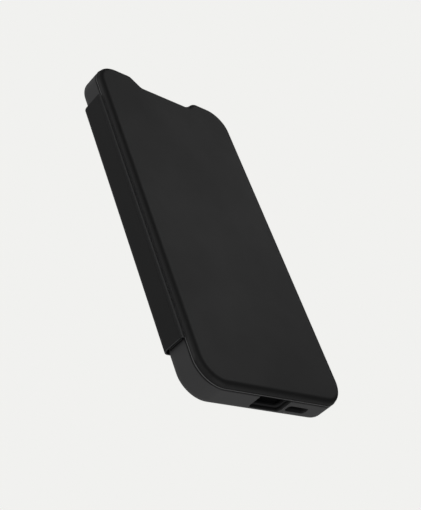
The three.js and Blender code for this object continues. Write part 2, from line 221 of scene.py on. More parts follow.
def sums(tree, operation, first, second):
    """A Math node on two sockets or numbers."""
    node = tree.nodes.new("ShaderNodeMath")
    node.operation = operation
    for socket, value in zip(node.inputs, (first, second)):
        if hasattr(value, "node"):
            tree.links.new(value, socket)
        else:
            socket.default_value = value
    return node.outputs[0]


def noise(tree, place, scale, detail=2.0):
    """A noise texture read at a place, at a scale that is a number or a socket."""
    node = tree.nodes.new("ShaderNodeTexNoise")
    node.inputs["Detail"].default_value = detail
    tree.links.new(place, node.inputs["Vector"])
    if hasattr(scale, "node"):
        tree.links.new(scale, node.inputs["Scale"])
    else:
        node.inputs["Scale"].default_value = scale
    return node.outputs["Fac"]


# Moulded texture: a close grain of low bumps with a finer one over it, and slow patches where it is fuller.
moulded, moulded_in, moulded_out = node_group(
    "moulded_texture", [("Grain", 5000.0), ("Patch", 60.0)], ["Height", "Patches"]
)
place = moulded.nodes.new("ShaderNodeTexCoord").outputs["Object"]
pebbles = moulded.nodes.new("ShaderNodeTexVoronoi")
pebbles.feature = "SMOOTH_F1"
pebbles.inputs["Smoothness"].default_value = 0.6
moulded.links.new(place, pebbles.inputs["Vector"])
moulded.links.new(moulded_in.outputs["Grain"], pebbles.inputs["Scale"])
dust = noise(moulded, place, sums(moulded, "MULTIPLY", moulded_in.outputs["Grain"], 2.3), 3.0)
coarse = sums(moulded, "SUBTRACT", 1.0, pebbles.outputs["Distance"])
moulded.links.new(
    sums(moulded, "ADD", sums(moulded, "MULTIPLY", coarse, 0.7), sums(moulded, "MULTIPLY", dust, 0.3)),
    moulded_out.inputs["Height"],
)
moulded.links.new(noise(moulded, place, moulded_in.outputs["Patch"], 3.0), moulded_out.inputs["Patches"])

# Rubbed edges: a mask that is 1 on a convex or concave edge and 0 on open faces, broken up along its length.
rubbed, rubbed_in, rubbed_out = node_group("rubbed_edges", [("Reach", 0.0004), ("Breakup", 220.0)], ["Mask"])
softened = rubbed.nodes.new("ShaderNodeBevel")
softened.samples = 4
rubbed.links.new(rubbed_in.outputs["Reach"], softened.inputs["Radius"])
facing = rubbed.nodes.new("ShaderNodeNewGeometry")
turned = rubbed.nodes.new("ShaderNodeVectorMath")
turned.operation = "DOT_PRODUCT"
rubbed.links.new(softened.outputs["Normal"], turned.inputs[0])
rubbed.links.new(facing.outputs["Normal"], turned.inputs[1])
edge = sums(rubbed, "MULTIPLY", sums(rubbed, "SUBTRACT", 1.0, turned.outputs["Value"]), 5.0)
place = rubbed.nodes.new("ShaderNodeTexCoord").outputs["Object"]
broken = sums(rubbed, "ADD", noise(rubbed, place, rubbed_in.outputs["Breakup"], 3.0), 0.35)
rubbed.links.new(
    sums(rubbed, "MINIMUM", sums(rubbed, "MULTIPLY", edge, broken), 1.0), rubbed_out.inputs["Mask"]
)

# Painted crevice shade: 1 on open faces and less where a joint or a groove shuts the light out, for darkening
# a colour there as painted shade.
painted_crevice_shade, painted_crevice_shade_in, painted_crevice_shade_out = node_group("painted_crevice_shade", [("Reach", 0.001)], ["Open"])
shut = painted_crevice_shade.nodes.new("ShaderNodeAmbientOcclusion")
shut.samples = 8
painted_crevice_shade.links.new(painted_crevice_shade_in.outputs["Reach"], shut.inputs["Distance"])
painted_crevice_shade.links.new(sums(painted_crevice_shade, "POWER", shut.outputs["AO"], crevice_shade_contrast), painted_crevice_shade_out.inputs["Open"])


def placed(tree, group, **values):
    """A shader group placed in a material with its own values."""
    node = tree.nodes.new("ShaderNodeGroup")
    node.node_tree = group
    for label, value in values.items():
        node.inputs[label].default_value = value
    return node


def between(tree, mask, at_none, at_full):
    """A number that runs from one value to another with a mask from 0 to 1."""
    node = tree.nodes.new("ShaderNodeMapRange")
    tree.links.new(mask, node.inputs["Value"])
    node.inputs["To Min"].default_value = at_none
    node.inputs["To Max"].default_value = at_full
    return node.outputs["Result"]


def tinted(tree, mask, at_none, at_full):
    """A colour that runs from one to another with a mask from 0 to 1."""
    node = tree.nodes.new("ShaderNodeMix")
    node.data_type = "RGBA"
    tree.links.new(mask, node.inputs["Factor"])
    node.inputs["A"].default_value = (*at_none, 1)
    node.inputs["B"].default_value = (*at_full, 1)
    return node.outputs["Result"]


def raise_bumps(tree, shader, height, depth):
    """Feeds a height to the shader's normal, as bumps of a depth in metres."""
    bump = tree.nodes.new("ShaderNodeBump")
    bump.inputs["Distance"].default_value = depth
    tree.links.new(height, bump.inputs["Height"])
    tree.links.new(bump.outputs["Normal"], shader.inputs["Normal"])
    return bump


def moulded_plastic(name, colour, worn_colour, roughness, worn_roughness, grain, depth, reach, shade_reach=None):
    """A moulded finish: fine grain, duller and shinier patches, rubbed edges and, if asked, painted shade in
    its joints and grooves.
    """
    made, tree, shader = finish(name, colour, roughness)
    texture = placed(tree, moulded, Grain=grain)
    wear = placed(tree, rubbed, Reach=reach)
    patches = between(tree, texture.outputs["Patches"], roughness - 0.05, roughness + 0.05)
    rub = sums(tree, "MULTIPLY", wear.outputs["Mask"], worn_roughness - roughness)
    tree.links.new(sums(tree, "ADD", patches, rub), shader.inputs["Roughness"])
    paint = tinted(tree, wear.outputs["Mask"], colour, worn_colour)
    # Painted shade: the base colour is mixed towards near-black where the occlusion mask shuts the light out.
    if shade_reach:
        shade_mask = placed(tree, painted_crevice_shade, Reach=shade_reach)
        darker = tree.nodes.new("ShaderNodeMix")
        darker.data_type = "RGBA"
        darker.inputs["A"].default_value = (0.004, 0.004, 0.004, 1)
        tree.links.new(shade_mask.outputs["Open"], darker.inputs["Factor"])
        tree.links.new(paint, darker.inputs["B"])
        paint = darker.outputs["Result"]
    tree.links.new(paint, shader.inputs["Base Color"])
    raise_bumps(tree, shader, texture.outputs["Height"], depth)
    return made


def edit(piece):
    """Goes into edit mode on one piece."""
    bpy.ops.object.mode_set(mode="OBJECT")
    bpy.ops.object.select_all(action="DESELECT")
    piece.select_set(True)
    bpy.context.view_layer.objects.active = piece
    bpy.ops.object.mode_set(mode="EDIT")


def pick(kind, test):
    """Selects the vertices, edges or faces whose middle passes a test."""
    bpy.ops.mesh.select_mode(type=kind)
    bpy.ops.mesh.select_all(action="DESELECT")
    mesh = bmesh.from_edit_mesh(bpy.context.object.data)
    for element in {"VERT": mesh.verts, "EDGE": mesh.edges, "FACE": mesh.faces}[kind]:
        if kind == "VERT":
            middle = element.co
        elif kind == "EDGE":
            middle = (element.verts[0].co + element.verts[1].co) / 2
        else:
            middle = element.calc_center_median()
        if test(middle, element):
            element.select_set(True)
    mesh.select_flush_mode()
    bmesh.update_edit_mesh(bpy.context.object.data)


def near(value, place, slack=0.02 * mm):
    return abs(value - place) < slack


def level_edge(edge, height):
    """Whether both ends of an edge are at a height."""
    return all(near(corner.co.z, height) for corner in edge.verts)


def plate(name, centre, width, height, facing="Z"):
    """A flat rectangle facing along an axis, left in edit mode. Width and height run along the others."""
    if bpy.context.object is not None and bpy.context.object.mode != "OBJECT":
        bpy.ops.object.mode_set(mode="OBJECT")
    bpy.ops.object.select_all(action="DESELECT")
    turns = {"X": (math.pi / 2, 0, math.pi / 2), "Y": (math.pi / 2, 0, 0), "Z": (0, 0, 0)}
    bpy.ops.mesh.primitive_plane_add(size=1, location=centre, rotation=turns[facing])
    piece = bpy.context.object
    piece.name = name
    piece.data.name = name
    piece.scale = (width, height, 1)
    bpy.ops.object.transform_apply(location=True, rotation=True, scale=True)
    edit(piece)
    return piece


def round_corners(radius, steps, test=lambda place, corner: True):
    """Rounds the picked corners of a flat outline."""
    pick("VERT", test)
    bpy.ops.mesh.bevel(offset=radius, segments=steps, affect="VERTICES", profile=0.5)


def round_edges(radius, steps, test):
    """Rounds the picked edges of a solid."""
    pick("EDGE", test)
    bpy.ops.mesh.bevel(offset=radius, segments=steps, affect="EDGES", profile=0.5, clamp_overlap=False)


def push(x=0.0, y=0.0, z=0.0):
    """Extrudes what is selected by a step."""
    bpy.ops.mesh.extrude_region_move(TRANSFORM_OT_translate={"value": (x, y, z)})


def cut_across(place, normal):
    """Cuts the whole piece with a plane, and keeps both sides."""
    bpy.ops.mesh.select_mode(type="FACE")
    bpy.ops.mesh.select_all(action="SELECT")
    bpy.ops.mesh.bisect(plane_co=place, plane_no=normal)


def close_up(piece):
    """Merges doubled corners, turns the faces outwards and leaves edit mode."""
    bpy.ops.mesh.select_all(action="SELECT")
    bpy.ops.mesh.remove_doubles(threshold=0.002 * mm)
    bpy.ops.mesh.normals_make_consistent(inside=False)
    bpy.ops.object.mode_set(mode="OBJECT")
    return piece


def alone(piece):
    """Selects one piece, out of edit mode."""
    bpy.ops.object.select_all(action="DESELECT")
    piece.select_set(True)
    bpy.context.view_layer.objects.active = piece


def bar(name, low, high, radius, along, steps=8):
    """A bar between two corners, with its long edges rounded along an axis."""
    index = "XYZ".index(along)
    across, up = [axis for axis in range(3) if axis != index]
    centre = (Vector(low) + Vector(high)) / 2
    centre[index] = low[index]
    piece = plate(name, centre, high[across] - low[across], high[up] - low[up], along)
    if radius > 0:
        round_corners(radius, steps)
    pick("FACE", lambda place, face: True)
    step = [0.0, 0.0, 0.0]
    step[index] = high[index] - low[index]
    push(*step)
    return close_up(piece)


def combine(piece, other, operation="DIFFERENCE"):
    """Cuts or joins another solid, which is used up."""
    alone(piece)
    change = piece.modifiers.new(operation.lower(), "BOOLEAN")
    change.operation = operation
    change.solver = "EXACT"
    change.object = other
    bpy.ops.object.modifier_apply(modifier=change.name)
    bpy.data.objects.remove(other)


def soften(piece, width, steps=2, angle=50):
    """Takes the hard edge off a piece, as a mould or a cutting die does."""
    alone(piece)
    bevel = piece.modifiers.new("soft_edge", "BEVEL")
    bevel.width = width
    bevel.segments = steps
    bevel.limit_method = "ANGLE"
    bevel.angle_limit = math.radians(angle)
    bevel.use_clamp_overlap = True
    bpy.ops.object.modifier_apply(modifier=bevel.name)


def smooth(piece, angle=32):
    """Smooth shading over curves, with flat faces left flat."""
    alone(piece)
    bpy.ops.object.shade_smooth_by_angle(angle=math.radians(angle))
    even = piece.modifiers.new("even_faces", "WEIGHTED_NORMAL")
    even.keep_sharp = True
    bpy.ops.object.modifier_apply(modifier=even.name)


def settle(piece, body, slot, coat, *nodes):
    """Gives a finished piece its material and, if one is named, its body, and hides the CAD nodes that it
    stands for.
    """
    piece.data.materials.clear()
    piece.data.materials.append(coat)
    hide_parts(*nodes)
    if body:
        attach(piece, body)


def recoat(node, coat):
    """Gives a CAD node that is kept as it is a better finish."""
    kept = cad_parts[node]
    for held in kept.material_slots:
        held.material = coat


def port_cutter(step):
    """The charging opening, open at the top, drawn in by a step for the tray."""
    return bar(
        "port_cutter",
        (-port_half + step, -cad_high.y - beyond, port_bottom + step),
        (port_half - step, -cad_high.y + 4 * mm, cad_high.z), port_corner, "Y",
    )


def speaker_cutter():
    return bar(
        "speaker_cutter",
        (speaker_middle - speaker_half, -cad_high.y - beyond, phone_middle - speaker_rise),
        (speaker_middle + speaker_half, -cad_high.y + beyond, phone_middle + speaker_rise),
        speaker_corner, "Y",
    )


def microphone_cutter():
    return bar(
        "microphone_cutter",
        (microphone_offset - microphone_radius, cad_high.y - beyond, phone_middle - microphone_radius),
        (microphone_offset + microphone_radius, cad_high.y + beyond, phone_middle + microphone_radius),
        0.999 * microphone_radius, "Y", 12,
    )


def scoop_cutter():
    """The dip in the top end's wall, with sloping sides that run out under the cover's notch."""
    cutter = plate(
        "scoop_cutter", (0, cad_high.y - beyond, (scoop_floor + cad_high.z) / 2),
        2 * scoop_mouth_half, cad_high.z - scoop_floor, "Y",
    )
    pick("VERT", lambda place, corner: near(place.z, scoop_floor))
    bpy.ops.transform.resize(value=(scoop_floor_half / scoop_mouth_half, 1, 1), center_override=(0, 0, 0))
    round_corners(scoop_corner, 6, lambda place, corner: near(place.z, scoop_floor))
    pick("FACE", lambda place, face: True)
    push(y=2 * beyond)
    return close_up(cutter)


def button_cutter(node, margin, low_x, high_x):
    """The slot that a button's cap or flange sits in."""
    low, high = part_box(node)
    return bar(
        "button_cutter",
        (low_x, low.y + button_flange - margin, low.z + button_flange - margin),
        (high_x, high.y - button_flange + margin, high.z - button_flange + margin),
        cap_corner + margin, "X",
    )


def camera_cutter(margin):
    return bar(
        "camera_cutter",
        (bezel_low.x - margin, bezel_low.y - margin, -beyond),
        (bezel_high.x + margin, bezel_high.y + margin, phone_middle),
        camera_corner + bezel_wall + margin, "Z", 12,
    )


tray_black = moulded_plastic(
    "tray_black", (0.045, 0.045, 0.046), (0.06, 0.06, 0.062), 0.42, 0.3, 7000, 0.010 * mm, 0.3 * mm
)
tray = plate(
    "tray_moulding", (0, 0, tray_low.z), tray_high.x - tray_low.x, tray_high.y - tray_low.y
)
round_corners(tray_corner, corner_steps)
pick("FACE", lambda place, face: True)
push(z=tray_high.z - tray_low.z)
pick("FACE", lambda place, face: near(place.z, tray_high.z))
bpy.ops.mesh.inset(thickness=tray_wall)
push(z=-(tray_high.z - tray_low.z - tray_wall))
round_edges(tray_edge_round, 8, lambda place, edge: level_edge(edge, tray_low.z))
round_edges(
    tray_edge_round - tray_wall, 6, lambda place, edge: level_edge(edge, tray_low.z + tray_wall)
)
close_up(tray)
for cutter in (port_cutter(port_step), speaker_cutter(), microphone_cutter(), scoop_cutter()):
    combine(tray, cutter)
combine(tray, camera_cutter(fit_gap))
for node in ("volume_button", "power_button"):
    combine(tray, button_cutter(node, flange_slot, slot_inside, slot_outside))
soften(tray, tray_rim_round)
edit(tray)
bpy.ops.mesh.select_all(action="SELECT")
bpy.ops.mesh.quads_convert_to_tris(quad_method="BEAUTY", ngon_method="BEAUTY")
bpy.ops.object.mode_set(mode="OBJECT")
smooth(tray)
settle(tray, "shell", "tray", tray_black, "inner_tray")

# ---------------------------------------------------------------------------- back lining
# A sheet of grey microfibre glued to the tray's floor under the phone, die-cut with a camera opening.
# Its short nap leans here and there, which shades it in soft patches.
lining_low, lining_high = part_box("back_lining")
lining_corner = 8.0 * mm
die_cut_edge = 0.08 * mm

# Nap: fine cut fibres, with broad soft patches where they lean and catch less light.
nap, nap_in, nap_out = node_group("nap", [("Fibre", 9000.0), ("Lean", 90.0)], ["Height", "Shade"])
place = nap.nodes.new("ShaderNodeTexCoord").outputs["Object"]
fibres = noise(nap, place, nap_in.outputs["Fibre"], 4.0)
leaning = noise(nap, place, nap_in.outputs["Lean"], 3.0)
nap.links.new(fibres, nap_out.inputs["Height"])
nap.links.new(
    sums(nap, "ADD", sums(nap, "MULTIPLY", fibres, 0.45), sums(nap, "MULTIPLY", leaning, 0.55)),
    nap_out.inputs["Shade"],
)

microfibre, tree, shader = finish("microfibre", (0.03, 0.03, 0.031), 0.95, 0.2)
pile = placed(tree, nap)
tree.links.new(
    tinted(tree, pile.outputs["Shade"], (0.014, 0.014, 0.015), (0.055, 0.055, 0.058)),
    shader.inputs["Base Color"],
)
shader.inputs["Sheen Weight"].default_value = 0.35
shader.inputs["Sheen Roughness"].default_value = 0.5
raise_bumps(tree, shader, pile.outputs["Height"], 0.06 * mm)

back_lining = bar("back_lining_sheet", lining_low, lining_high, lining_corner, "Z", 16)
combine(back_lining, camera_cutter(fit_gap))
soften(back_lining, die_cut_edge)
smooth(back_lining)
settle(back_lining, "shell", "lining", microfibre, "back_lining")

# ---------------------------------------------------------------------------- bumper
# The soft frame round the phone, moulded in one piece of satin polyurethane: a wall, a thin lip over the
# screen's edge and a flange under the back. The skin passes under its left edge on the way to the spine.
bumper_low, bumper_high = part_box("bumper")
spine_low, spine_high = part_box("spine_skin")
case_corner = 11.15 * mm
bumper_wall = 1.5 * mm
lip_reach = 3.65 * mm
lip_under = 9.90 * mm
flange_reach = 4.6 * mm
flange_top = 0.6 * mm
bumper_edge_round = 3.4 * mm
bumper_top_round = 0.75 * mm
lip_corner = 0.18 * mm
bumper_soft_edge = 0.14 * mm
bumper_inner_round = 2.3 * mm
recess_gap = 0.3 * mm
recess_top = 0.65 * mm
cap_slot = 0.3 * mm
flange_slot_depth = 0.5 * mm
keeper_slot_depth = 0.5 * mm
far_side = 60 * mm
bumper_size = bumper_high - bumper_low

bumper = plate(
    "bumper_moulding",
    (bumper_high.x - flange_reach / 2, bumper_low.y + case_corner, (bumper_low.z + bumper_high.z) / 2),
    flange_reach, bumper_size.z, "Y",
)
for x in (bumper_high.x - bumper_wall, bumper_high.x - lip_reach):
    cut_across((x, 0, 0), (1, 0, 0))
for z in (flange_top, lip_under):
    cut_across((0, 0, z), (0, 0, 1))
pick("FACE", lambda place, face: (
    place.x < bumper_high.x - bumper_wall and flange_top < place.z < lip_under
    or place.x < bumper_high.x - lip_reach and place.z > lip_under
))
bpy.ops.mesh.delete(type="FACE")
bpy.ops.mesh.select_all(action="SELECT")
bpy.ops.mesh.dissolve_limited(angle_limit=math.radians(1))
outer_wall = bumper_high.x
round_corners(bumper_edge_round, 12, lambda p, corner: near(p.x, outer_wall) and near(p.z, bumper_low.z))
round_corners(bumper_top_round, 4, lambda p, corner: near(p.x, outer_wall) and near(p.z, bumper_high.z))
round_corners(lip_corner, 3, lambda p, corner: near(p.x, outer_wall - lip_reach))
round_corners(
    bumper_inner_round, 6, lambda p, corner: near(p.x, outer_wall - bumper_wall) and p.z < lip_under / 2
)
bpy.ops.mesh.select_all(action="SELECT")
bpy.ops.mesh.delete(type="ONLY_FACE")
bpy.ops.mesh.select_all(action="SELECT")
for run, turn in zip([(0, 1), (-1, 0), (0, -1), (1, 0)], [(1, 1), (-1, 1), (-1, -1), (1, -1)]):
    push(x=run[0] * (bumper_size.x - 2 * case_corner), y=run[1] * (bumper_size.y - 2 * case_corner))
    middle = (turn[0] * (outer_wall - case_corner), turn[1] * (bumper_high.y - case_corner), 0)
    bpy.ops.mesh.spin(steps=corner_steps, angle=math.pi / 2, center=middle, axis=(0, 0, -1))
close_up(bumper)
for cutter in (port_cutter(0), speaker_cutter(), microphone_cutter(), scoop_cutter()):
    combine(bumper, cutter)
combine(bumper, bar(
    "skin_recess", (-far_side, spine_low.y - recess_gap, -beyond),
    (-outer_wall + flange_reach + recess_gap, spine_high.y + recess_gap, recess_top), 0, "Z",
))
for node in ("volume_button", "power_button"):
    combine(bumper, button_cutter(node, cap_slot, slot_inside, slot_outside))
    combine(bumper, button_cutter(
        node, flange_slot, slot_inside, outer_wall - bumper_wall + flange_slot_depth
    ))
for node in ("keeper_plate_1", "keeper_plate_2"):
    plate_low, plate_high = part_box(node)
    around = Vector((fit_gap, fit_gap, fit_gap))
    combine(bumper, bar(
        "keeper_cutter", plate_low - around - Vector((keeper_slot_depth, 0, 0)), plate_high + around, 0, "X"
    ))
soften(bumper, bumper_soft_edge)
smooth(bumper)
# The bumper's base colour is darkened in its grooves, under the cover's rim and at the spine's ends: painted
# shade.
bumper_grey = moulded_plastic(
    "bumper_grey", (0.078, 0.078, 0.0792), (0.092, 0.092, 0.0935), 0.5, 0.36, 5200, 0.012 * mm, 0.35 * mm,
    shade_reach=1.3 * mm,
)
settle(bumper, "shell", "bumper", bumper_grey, "bumper")

# ---------------------------------------------------------------------------- keeper plates
# Two thin steel plates pressed into the bumper's right wall, which the cover's magnets hold on to. They are
# sheared from brushed strip, and the grain runs along them.
keeper_steel, tree, shader = finish("keeper_steel", (0.42, 0.42, 0.43), 0.35, 0.5, 1.0)
place = tree.nodes.new("ShaderNodeTexCoord").outputs["Object"]
along_strip = tree.nodes.new("ShaderNodeMapping")
along_strip.inputs["Scale"].default_value = (1, 0.02, 1)
tree.links.new(place, along_strip.inputs["Vector"])
brushed = noise(tree, along_strip.outputs["Vector"], 9000, 3.0)
tree.links.new(between(tree, brushed, 0.25, 0.5), shader.inputs["Roughness"])
raise_bumps(tree, shader, brushed, 0.004 * mm)
for node in ("keeper_plate_1", "keeper_plate_2"):
    recoat(node, keeper_steel)

# ---------------------------------------------------------------------------- camera bezel
# A hard ring clipped into the tray's floor, which keeps the lining and the skin back from the lenses. Its
# edges are rounded so that they don't throw light into a lens.
bezel_edge_round = 0.35 * mm
ring_black = moulded_plastic(
    "ring_black", (0.01, 0.01, 0.0105), (0.018, 0.018, 0.019), 0.26, 0.18, 9000, 0.004 * mm, 0.2 * mm
)
bezel = bar("bezel_ring", bezel_low, bezel_high, camera_corner + bezel_wall, "Z", 14)
inner = Vector((bezel_wall, bezel_wall, 0))
combine(bezel, bar(
    "bezel_opening", bezel_low + inner - Vector((0, 0, beyond)), bezel_high - inner + Vector((0, 0, beyond)),
    camera_corner, "Z", 14,
))
soften(bezel, bezel_edge_round, 4)
smooth(bezel, 40)
settle(bezel, "shell", "bezel", ring_black, "camera_bezel")

# ---------------------------------------------------------------------------- buttons
# Two keys of firmer polyurethane that press the phone's own, one long for the volume and one short for the
# power. Each is a round-ended cap with a hidden flange behind it that keeps it in the wall.
button_grey = moulded_plastic(
    "button_grey", (0.022, 0.022, 0.0225), (0.032, 0.032, 0.033), 0.44, 0.32, 6000, 0.008 * mm, 0.25 * mm
)
flange_outer = 37.15 * mm
flange_inner = 36.75 * mm
cap_top_round = 0.45 * mm
dip_centre = 0.9 * mm
dip_reach = 1.3 * mm
dip_half = 1.2 * mm
dip_round = 1.19 * mm
dip_edge = 0.12 * mm


def key(name, node, dip):
    """One key: the cap with its rounded top, a dip across its middle where it is a rocker, and its flange."""
    low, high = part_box(node)
    centre = (low + high) / 2
    cap = plate(
        name, (low.x, centre.y, centre.z), high.y - low.y - 2 * button_flange,
        high.z - low.z - 2 * button_flange, "X",
    )
    round_corners(cap_corner, 8)
    pick("FACE", lambda place, face: True)
    push(x=high.x - low.x)
    round_edges(cap_top_round, 5, lambda p, edge: all(near(corner.co.x, high.x) for corner in edge.verts))
    close_up(cap)
    if dip:
        hollow = plate("dip_cutter", (high.x + dip_centre, centre.y, low.z), 2 * dip_reach, 2 * dip_half, "Z")
        pick("VERT", lambda p, corner: True)
        bpy.ops.mesh.bevel(offset=dip_round, segments=10, affect="VERTICES", profile=0.5)
        pick("FACE", lambda p, face: True)
        push(z=high.z - low.z)
        close_up(hollow)
        combine(cap, hollow)
        soften(cap, dip_edge, 2, 28)
    combine(cap, bar(
        "flange_plate", (flange_inner, low.y, low.z), (flange_outer, high.y, high.z),
        cap_corner + button_flange, "X",
    ), "UNION")
    smooth(cap)
    settle(cap, node, "button", button_grey, node)


key("volume_key", "volume_button", True)
key("power_key", "power_button", False)

# ---------------------------------------------------------------------------- back and spine skin
# One sheet of thin coated fabric with a matte face. It lies on the back, turns up round the back edge and
# makes the spine's outside, so the back hinge is only its bend.
back_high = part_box("back_skin")[1]
fold_low, fold_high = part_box("back_fold")
skin_thickness = 0.6 * mm
panel_corner = 6.7 * mm
fold_round = 2.77 * mm
fold_line = fold_low.x + fold_round
panel_left = -back_high.x
panel_inner_round = 1.2 * mm
panel_slack = 1 * mm
skin_edge = 0.12 * mm
# The next four values place a painted highlight: a pale band along the fold, standing in for light on the
# ridge and ledge.
fold_highlight_line = -38.9 * mm
fold_highlight_out = 1.15 * mm
fold_highlight_in = 0.7 * mm
fold_highlight_above = 10.2 * mm

# Coated skin: a soft close leather-like grain, and a paler band painted along the fold: a painted highlight
# where the ridge and ledge catch the light.
skin_black, tree, shader = finish("skin_black", (0.017, 0.017, 0.0172), 0.58, 0.42)
grain = placed(tree, moulded, Grain=3600, Patch=45)
wear = placed(tree, rubbed, Reach=0.5 * mm)
patches = between(tree, grain.outputs["Patches"], 0.54, 0.64)
rub = sums(tree, "MULTIPLY", wear.outputs["Mask"], -0.1)
tree.links.new(sums(tree, "ADD", patches, rub), shader.inputs["Roughness"])
tree.links.new(
    tinted(tree, wear.outputs["Mask"], (0.017, 0.017, 0.0172), (0.022, 0.022, 0.0224)),
    shader.inputs["Base Color"],
)
place = tree.nodes.new("ShaderNodeTexCoord").outputs["Object"]
spread = tree.nodes.new("ShaderNodeSeparateXYZ")
tree.links.new(place, spread.inputs["Vector"])
# Painted highlight: a pale band along the fold line, above a given height, mixed into the skin's colour.
fold_highlight_band = tree.nodes.new("ShaderNodeMapRange")
fold_highlight_band.interpolation_type = "SMOOTHSTEP"
fold_highlight_band.inputs["From Min"].default_value = fold_highlight_out
fold_highlight_band.inputs["From Max"].default_value = fold_highlight_in
off_line = sums(tree, "ABSOLUTE", sums(tree, "ADD", spread.outputs["X"], -fold_highlight_line), 0)
tree.links.new(off_line, fold_highlight_band.inputs["Value"])
above = sums(tree, "GREATER_THAN", spread.outputs["Z"], fold_highlight_above)
painted_highlight = sums(tree, "MULTIPLY", fold_highlight_band.outputs["Result"], above)
tone = tree.nodes.new("ShaderNodeMix")
tone.data_type = "RGBA"
tree.links.new(painted_highlight, tone.inputs["Factor"])
tree.links.new(shader.inputs["Base Color"].links[0].from_socket, tone.inputs["A"])
tone.inputs["B"].default_value = (0.08, 0.08, 0.081, 1)
tree.links.new(tone.outputs["Result"], shader.inputs["Base Color"])
raise_bumps(tree, shader, grain.outputs["Height"], 0.012 * mm)

# Cut edge: the skin's bare ends, paler than its face where the die went through the coating, and paler still
# as a painted highlight along that edge.
cut_edge_and_highlight = moulded_plastic(
    "cut_edge_and_highlight", (0.11, 0.11, 0.112), (0.12, 0.12, 0.122), 0.7, 0.6, 6500, 0.01 * mm, 0.1 * mm
)
skin = plate(
    "back_and_spine_skin", ((fold_line + back_high.x) / 2, 0, 0), back_high.x - fold_line, 2 * back_high.y
)
cut_across((panel_left, 0, 0), (1, 0, 0))
for y in (fold_low.y, fold_high.y):
    cut_across((0, y, 0), (0, 1, 0))
pick("FACE", lambda place, face: place.x < panel_left and abs(place.y) > fold_high.y)
bpy.ops.mesh.delete(type="FACE")
bpy.ops.mesh.select_all(action="SELECT")
bpy.ops.mesh.dissolve_limited(angle_limit=math.radians(1))
round_corners(panel_corner, 12, lambda place, corner: abs(place.y) > fold_high.y + panel_slack)
round_corners(panel_inner_round, 5, lambda place, corner: (
    near(place.x, panel_left) and near(abs(place.y), fold_high.y)
))
pick("EDGE", lambda place, edge: near(place.x, fold_line))
bpy.ops.mesh.spin(
    steps=14, angle=math.pi / 2, center=(fold_line, 0, fold_round), axis=(0, -1, 0)
)
push(z=spine_high.z - fold_round)
bpy.ops.mesh.select_all(action="SELECT")
bpy.ops.mesh.remove_doubles(threshold=0.002 * mm)
bpy.ops.mesh.normals_make_consistent(inside=False)
bpy.ops.object.mode_set(mode="OBJECT")
alone(skin)
thick = skin.modifiers.new("thickness", "SOLIDIFY")
thick.thickness = skin_thickness
thick.offset = 1 if skin.data.polygons[0].normal.z > 0 else -1
bpy.ops.object.modifier_apply(modifier=thick.name)
combine(skin, camera_cutter(fit_gap))
soften(skin, skin_edge)
smooth(skin)
settle(skin, None, "skin", skin_black, "back_skin", "back_fold", "spine_skin")
# The skin's cut ends at the spine take the pale grey: cut-edge colour and painted highlight.
skin.data.materials.append(cut_edge_and_highlight)
for face in skin.data.polygons:
    if abs(face.normal.y) > 0.9 and face.center.x < panel_left:
        face.material_index = 1
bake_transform(skin)

# ---------------------------------------------------------------------------- spine board and lining
# A strip of stiff board glued inside the spine keeps it flat, and a strip of the lining covers it on the
# side towards the phone.
# Near-black board: its own dark colour, made darker still so that its ends at the spine's ends stand in for
# the shade in the gap there (painted shade).
board_black_shade, tree, shader = finish("board_black_shade", (0.004, 0.004, 0.004), 0.9, 0.15)
place = tree.nodes.new("ShaderNodeTexCoord").outputs["Object"]
flecks = noise(tree, place, 1500, 6.0)
tree.links.new(
    tinted(tree, flecks, (0.003, 0.003, 0.003), (0.007, 0.007, 0.007)), shader.inputs["Base Color"]
)
raise_bumps(tree, shader, flecks, 0.02 * mm)
recoat("spine_board", board_black_shade)

strip_low, strip_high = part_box("spine_lining")
strip = bar("spine_lining_strip", strip_low, strip_high, 0.4 * mm, "X", 4)
soften(strip, die_cut_edge)
smooth(strip)
settle(strip, "spine", "lining", microfibre, "spine_lining")

# ---------------------------------------------------------------------------- front cover skin
# The same skin, moulded over the front as a shallow dish with a round edge and a thin flat rim. On the left
# it runs out over a narrow ledge to a ridge, and down to meet the spine: that bend is the cover's hinge.
cover_low, cover_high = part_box("cover_skin")
ridge_low, ridge_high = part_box("cover_fold")
rim_width = 0.25 * mm
rim_thickness = 0.3 * mm
cover_edge_round = 2.15 * mm
ridge_round = 0.56 * mm
notch_depth = 4.8 * mm
notch_slope_top = 18.8 * mm
notch_slope_foot = 13.7 * mm
notch_turn = math.atan2(notch_depth, notch_slope_top - notch_slope_foot)
notch_top_round = 3.9 * mm
notch_foot_round = 1.8 * mm
ledge_edge = 0.12 * mm
cover_soft_edge = 0.07 * mm
corner_slack = 0.1 * mm
face_slack = 0.01 * mm
hollow_inset = rim_width + skin_thickness
hollow_round = cover_edge_round - skin_thickness


